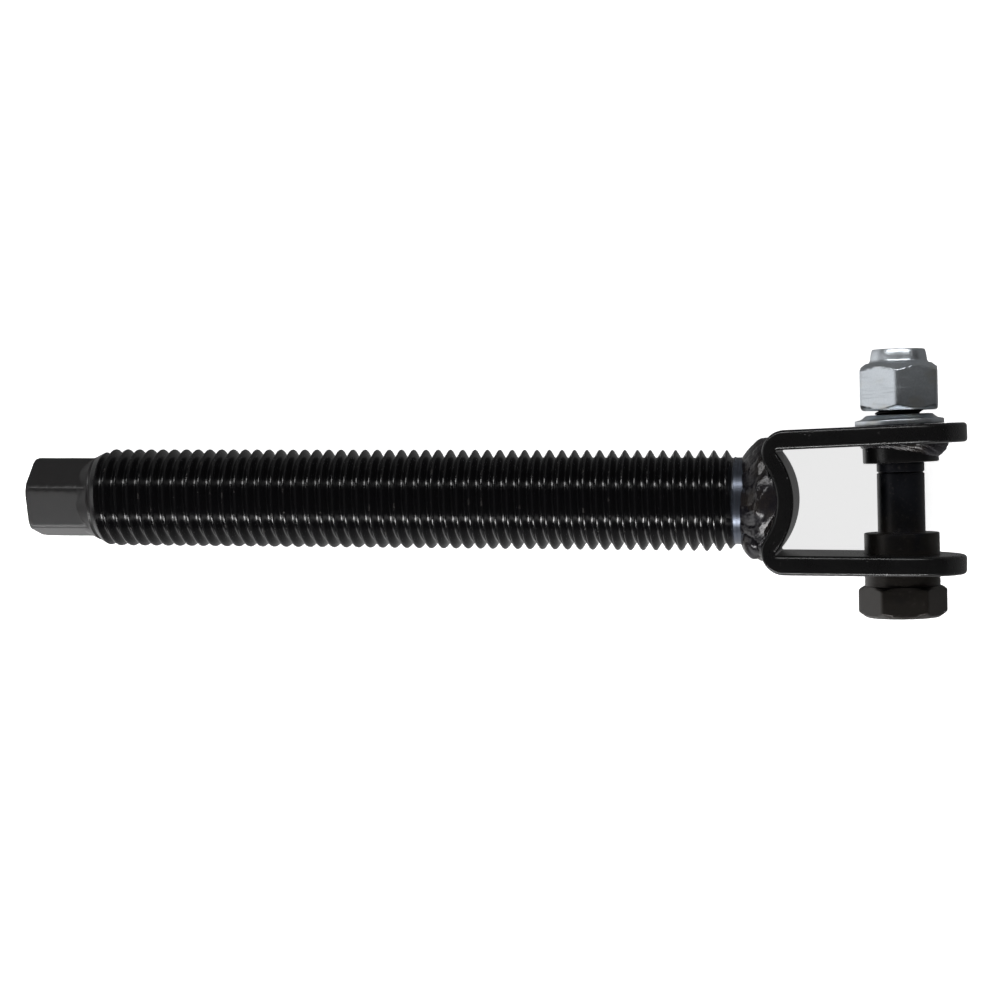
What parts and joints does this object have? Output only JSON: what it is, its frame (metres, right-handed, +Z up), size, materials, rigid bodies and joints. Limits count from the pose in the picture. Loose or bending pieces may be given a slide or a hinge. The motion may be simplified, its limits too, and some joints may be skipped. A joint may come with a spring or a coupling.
{
  "type": "threaded clevis end",
  "caption": "Steel adjusting screw with a hex drive end, welded to the back of a U-shaped clevis that carries a shoulder cross bolt, conical washer and lock nut.",
  "frame": {"origin": "centre of the hex drive's end face, on the screw's axis", "axes": "+X along the screw from the hex drive to the clevis, +Y across the clevis towards the lock nut, +Z up, with the clevis lying on its side"},
  "size_m": [0.2383, 0.0657, 0.0318],
  "materials": {
    "black_screw": "gloss black over steel",
    "black_paint": "semi-gloss black paint",
    "painted_weld": "thin black paint over weld metal",
    "black_oxide": "satin black oxide",
    "zinc_plate": "bright zinc plate"
  },
  "bodies": {
    "clevis_end": {"adjusting_screw": "black_screw", "clevis_yoke": "black_paint", "neck_weld": "painted_weld", "neck_weld_lump": "painted_weld", "ear_boss": "black_paint", "ear_boss_weld": "painted_weld"},
    "cross_bolt": {"shoulder_bolt": "black_oxide"},
    "nut": {"lock_nut": "zinc_plate"},
    "washer": {"conical_washer": "zinc_plate"}
  },
  "joints": [
    {"name": "bolt_turn", "type": "hinge", "parent": "clevis_end", "child": "cross_bolt", "pos_m": [0.2224, 0, 0], "axis": [-0.0244, 0.9997, 0], "range_deg": [-2100, 120]},
    {"name": "nut_travel", "type": "slide", "parent": "clevis_end", "child": "nut", "axis": [-0.0244, 0.9997, 0], "range_m": [-0.0006, 0.0103]},
    {"name": "washer_spin", "type": "hinge", "parent": "clevis_end", "child": "washer", "pos_m": [0.222, 0.01631, 0], "axis": [-0.0454, 0.999, 0], "continuous": true}
  ],
  "couplings": [
    {"joint": "nut_travel", "follows": "bolt_turn", "m_per_rad": -0.00027852}
  ]
}
